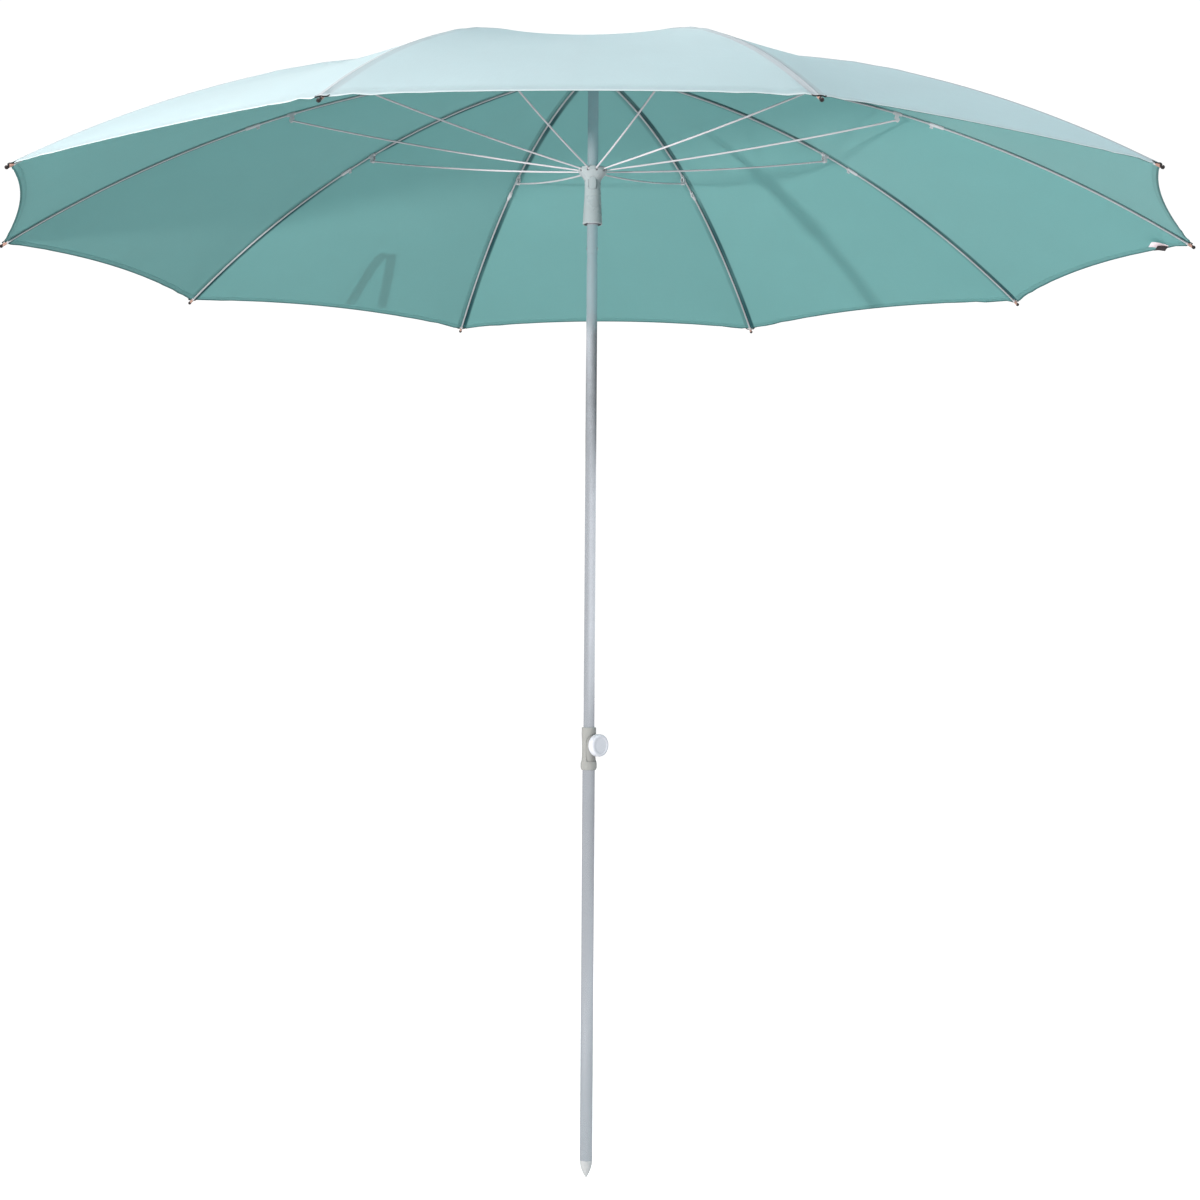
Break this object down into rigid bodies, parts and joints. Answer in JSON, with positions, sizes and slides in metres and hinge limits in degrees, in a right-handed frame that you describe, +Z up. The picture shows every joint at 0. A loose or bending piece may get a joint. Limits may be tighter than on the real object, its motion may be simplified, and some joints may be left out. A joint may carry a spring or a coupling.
{
  "type": "beach umbrella",
  "caption": "Open beach umbrella: a scalloped fabric canopy on bent ribs and stretchers, a sliding runner, a tilting mast and a clamped telescopic pole with a ground spike.",
  "frame": {"origin": "tip of the ground spike, on the pole's axis", "axes": "+Z up the pole, +X along rib 1; the knob points towards -Y and +X"},
  "size_m": [2.403, 2.286, 2.2513],
  "materials": {
    "canopy_fabric": "matte woven polyester",
    "strap": "matte woven tape",
    "pole_metal": "satin pale grey",
    "clamp_plastic": "satin",
    "knob_plastic": "satin",
    "frame_plastic": "satin white",
    "cap_plastic": "satin white",
    "dark_plastic": "matte",
    "wire": "zinc plated",
    "rib_rod": "grey",
    "stretcher_rod": "white"
  },
  "bodies": {
    "lower_pole": {"lower_tube": "pole_metal", "ground_spike": "clamp_plastic", "clamp_body": "clamp_plastic", "clamp_nut": "wire"},
    "clamp_pad": {"clamp_pad": "dark_plastic"},
    "clamp_knob": {"clamp_screw": "wire", "clamp_knob": "knob_plastic"},
    "mast_plug": {"mast_end_plug": "dark_plastic"},
    "mast": {"mast_tube": "pole_metal", "tilt_knuckle": "pole_metal"},
    "upper_pole": {"upper_tube": "pole_metal", "catch_spring": "wire", "tilt_rivet": "wire", "top_hub": "frame_plastic", "hub_wire_ring": "wire", "finial_cap": "cap_plastic"},
    "runner": {"runner": "frame_plastic", "runner_wire_ring": "wire"},
    "runner_button": {"runner_button": "frame_plastic"},
    "rib_1": {"rib_1": "rib_rod", "rib_fittings_1": "frame_plastic", "canopy_section_1": "canopy_fabric"},
    "stretcher_1": {"stretcher_1": "stretcher_rod"},
    "rib_2": {"rib_2": "rib_rod", "rib_fittings_2": "frame_plastic", "canopy_section_2": "canopy_fabric"},
    "stretcher_2": {"stretcher_2": "stretcher_rod"},
    "rib_3": {"rib_3": "rib_rod", "rib_fittings_3": "frame_plastic", "canopy_section_3": "canopy_fabric"},
    "stretcher_3": {"stretcher_3": "stretcher_rod"},
    "rib_4": {"rib_4": "rib_rod", "rib_fittings_4": "frame_plastic", "canopy_section_4": "canopy_fabric", "closure_strap": "strap"},
    "stretcher_4": {"stretcher_4": "stretcher_rod"},
    "rib_5": {"rib_5": "rib_rod", "rib_fittings_5": "frame_plastic", "canopy_section_5": "canopy_fabric"},
    "stretcher_5": {"stretcher_5": "stretcher_rod"},
    "rib_6": {"rib_6": "rib_rod", "rib_fittings_6": "frame_plastic", "canopy_section_6": "canopy_fabric"},
    "stretcher_6": {"stretcher_6": "stretcher_rod"},
    "rib_7": {"rib_7": "rib_rod", "rib_fittings_7": "frame_plastic", "canopy_section_7": "canopy_fabric"},
    "stretcher_7": {"stretcher_7": "stretcher_rod"},
    "rib_8": {"rib_8": "rib_rod", "rib_fittings_8": "frame_plastic", "canopy_section_8": "canopy_fabric"},
    "stretcher_8": {"stretcher_8": "stretcher_rod"},
    "rib_9": {"rib_9": "rib_rod", "rib_fittings_9": "frame_plastic", "canopy_section_9": "canopy_fabric"},
    "stretcher_9": {"stretcher_9": "stretcher_rod"},
    "rib_10": {"rib_10": "rib_rod", "rib_fittings_10": "frame_plastic", "canopy_section_10": "canopy_fabric"},
    "stretcher_10": {"stretcher_10": "stretcher_rod"}
  },
  "joints": [
    {"name": "height_slide", "type": "slide", "parent": "lower_pole", "child": "mast_plug", "axis": [0, 0, 1], "range_m": [-0.25, 0.3]},
    {"name": "mast_swivel", "type": "hinge", "parent": "mast_plug", "child": "mast", "pos_m": [0, 0, 0.4275], "axis": [0, 0, 1], "continuous": true},
    {"name": "tilt", "type": "hinge", "parent": "mast", "child": "upper_pole", "pos_m": [0, 0, 1.853], "axis": [1, 0, 0], "range_deg": [-35, 0]},
    {"name": "pad_feed", "type": "slide", "parent": "lower_pole", "child": "clamp_pad", "axis": [0.6947, -0.7193, 0], "range_m": [0, 0.00187]},
    {"name": "knob_turn", "type": "hinge", "parent": "clamp_pad", "child": "clamp_knob", "pos_m": [0.02014, -0.02086, 0.8585], "axis": [0.6947, -0.7193, 0], "range_deg": [0, 540]},
    {"name": "rib_1_fold", "type": "hinge", "parent": "upper_pole", "child": "rib_1", "pos_m": [0.024, 0, 2.214], "axis": [0, 1, 0], "range_deg": [0, 73], "deforming": ["canopy_section_1"]},
    {"name": "rib_2_fold", "type": "hinge", "parent": "upper_pole", "child": "rib_2", "pos_m": [0.01942, 0.01411, 2.214], "axis": [-0.5878, 0.809, 0], "range_deg": [0, 73], "deforming": ["canopy_section_2"]},
    {"name": "rib_3_fold", "type": "hinge", "parent": "upper_pole", "child": "rib_3", "pos_m": [0.00742, 0.02283, 2.214], "axis": [-0.9511, 0.309, 0], "range_deg": [0, 73], "deforming": ["canopy_section_3"]},
    {"name": "rib_4_fold", "type": "hinge", "parent": "upper_pole", "child": "rib_4", "pos_m": [-0.00742, 0.02283, 2.214], "axis": [-0.9511, -0.309, 0], "range_deg": [0, 73], "deforming": ["canopy_section_4", "closure_strap"]},
    {"name": "rib_5_fold", "type": "hinge", "parent": "upper_pole", "child": "rib_5", "pos_m": [-0.01942, 0.01411, 2.214], "axis": [-0.5878, -0.809, 0], "range_deg": [0, 73], "deforming": ["canopy_section_5"]},
    {"name": "rib_6_fold", "type": "hinge", "parent": "upper_pole", "child": "rib_6", "pos_m": [-0.024, 0, 2.214], "axis": [0, -1, 0], "range_deg": [0, 73], "deforming": ["canopy_section_6"]},
    {"name": "rib_7_fold", "type": "hinge", "parent": "upper_pole", "child": "rib_7", "pos_m": [-0.01942, -0.01411, 2.214], "axis": [0.5878, -0.809, 0], "range_deg": [0, 73], "deforming": ["canopy_section_7"]},
    {"name": "rib_8_fold", "type": "hinge", "parent": "upper_pole", "child": "rib_8", "pos_m": [-0.00742, -0.02283, 2.214], "axis": [0.9511, -0.309, 0], "range_deg": [0, 73], "deforming": ["canopy_section_8"]},
    {"name": "rib_9_fold", "type": "hinge", "parent": "upper_pole", "child": "rib_9", "pos_m": [0.00742, -0.02283, 2.214], "axis": [0.9511, 0.309, 0], "range_deg": [0, 73], "deforming": ["canopy_section_9"]},
    {"name": "rib_10_fold", "type": "hinge", "parent": "upper_pole", "child": "rib_10", "pos_m": [0.01942, -0.01411, 2.214], "axis": [0.5878, 0.809, 0], "range_deg": [0, 73], "deforming": ["canopy_section_10"]},
    {"name": "stretcher_1_fold", "type": "hinge", "parent": "rib_1", "child": "stretcher_1", "pos_m": [0.61, 0, 2.11275], "axis": [0, 1, 0], "range_deg": [-146, 0]},
    {"name": "stretcher_2_fold", "type": "hinge", "parent": "rib_2", "child": "stretcher_2", "pos_m": [0.4935, 0.35855, 2.11275], "axis": [-0.5878, 0.809, 0], "range_deg": [-146, 0]},
    {"name": "stretcher_3_fold", "type": "hinge", "parent": "rib_3", "child": "stretcher_3", "pos_m": [0.1885, 0.58014, 2.11275], "axis": [-0.9511, 0.309, 0], "range_deg": [-146, 0]},
    {"name": "stretcher_4_fold", "type": "hinge", "parent": "rib_4", "child": "stretcher_4", "pos_m": [-0.1885, 0.58014, 2.11275], "axis": [-0.9511, -0.309, 0], "range_deg": [-146, 0]},
    {"name": "stretcher_5_fold", "type": "hinge", "parent": "rib_5", "child": "stretcher_5", "pos_m": [-0.4935, 0.35855, 2.11275], "axis": [-0.5878, -0.809, 0], "range_deg": [-146, 0]},
    {"name": "stretcher_6_fold", "type": "hinge", "parent": "rib_6", "child": "stretcher_6", "pos_m": [-0.61, 0, 2.11275], "axis": [0, -1, 0], "range_deg": [-146, 0]},
    {"name": "stretcher_7_fold", "type": "hinge", "parent": "rib_7", "child": "stretcher_7", "pos_m": [-0.4935, -0.35855, 2.11275], "axis": [0.5878, -0.809, 0], "range_deg": [-146, 0]},
    {"name": "stretcher_8_fold", "type": "hinge", "parent": "rib_8", "child": "stretcher_8", "pos_m": [-0.1885, -0.58014, 2.11275], "axis": [0.9511, -0.309, 0], "range_deg": [-146, 0]},
    {"name": "stretcher_9_fold", "type": "hinge", "parent": "rib_9", "child": "stretcher_9", "pos_m": [0.1885, -0.58014, 2.11275], "axis": [0.9511, 0.309, 0], "range_deg": [-146, 0]},
    {"name": "stretcher_10_fold", "type": "hinge", "parent": "rib_10", "child": "stretcher_10", "pos_m": [0.4935, -0.35855, 2.11275], "axis": [0.5878, 0.809, 0], "range_deg": [-146, 0]},
    {"name": "runner_pivot", "type": "hinge", "parent": "stretcher_1", "child": "runner", "pos_m": [0.024, 0, 2.0115], "axis": [0, 1, 0], "range_deg": [0, 73]},
    {"name": "runner_button_press", "type": "slide", "parent": "runner", "child": "runner_button", "axis": [-0.0349, 0.9994, 0], "range_m": [0, 0.0015], "stiffness_N_per_m": 1500, "springref_m": -0.002}
  ],
  "couplings": [
    {"joint": "knob_turn", "follows": "pad_feed", "rad_per_m": 5026.5},
    {"joint": "rib_2_fold", "follows": "rib_1_fold", "ratio": 1},
    {"joint": "rib_3_fold", "follows": "rib_1_fold", "ratio": 1},
    {"joint": "rib_4_fold", "follows": "rib_1_fold", "ratio": 1},
    {"joint": "rib_5_fold", "follows": "rib_1_fold", "ratio": 1},
    {"joint": "rib_6_fold", "follows": "rib_1_fold", "ratio": 1},
    {"joint": "rib_7_fold", "follows": "rib_1_fold", "ratio": 1},
    {"joint": "rib_8_fold", "follows": "rib_1_fold", "ratio": 1},
    {"joint": "rib_9_fold", "follows": "rib_1_fold", "ratio": 1},
    {"joint": "rib_10_fold", "follows": "rib_1_fold", "ratio": 1},
    {"joint": "stretcher_1_fold", "follows": "rib_1_fold", "ratio": -2},
    {"joint": "stretcher_2_fold", "follows": "rib_1_fold", "ratio": -2},
    {"joint": "stretcher_3_fold", "follows": "rib_1_fold", "ratio": -2},
    {"joint": "stretcher_4_fold", "follows": "rib_1_fold", "ratio": -2},
    {"joint": "stretcher_5_fold", "follows": "rib_1_fold", "ratio": -2},
    {"joint": "stretcher_6_fold", "follows": "rib_1_fold", "ratio": -2},
    {"joint": "stretcher_7_fold", "follows": "rib_1_fold", "ratio": -2},
    {"joint": "stretcher_8_fold", "follows": "rib_1_fold", "ratio": -2},
    {"joint": "stretcher_9_fold", "follows": "rib_1_fold", "ratio": -2},
    {"joint": "stretcher_10_fold", "follows": "rib_1_fold", "ratio": -2},
    {"joint": "runner_pivot", "follows": "rib_1_fold", "ratio": 1}
  ]
}
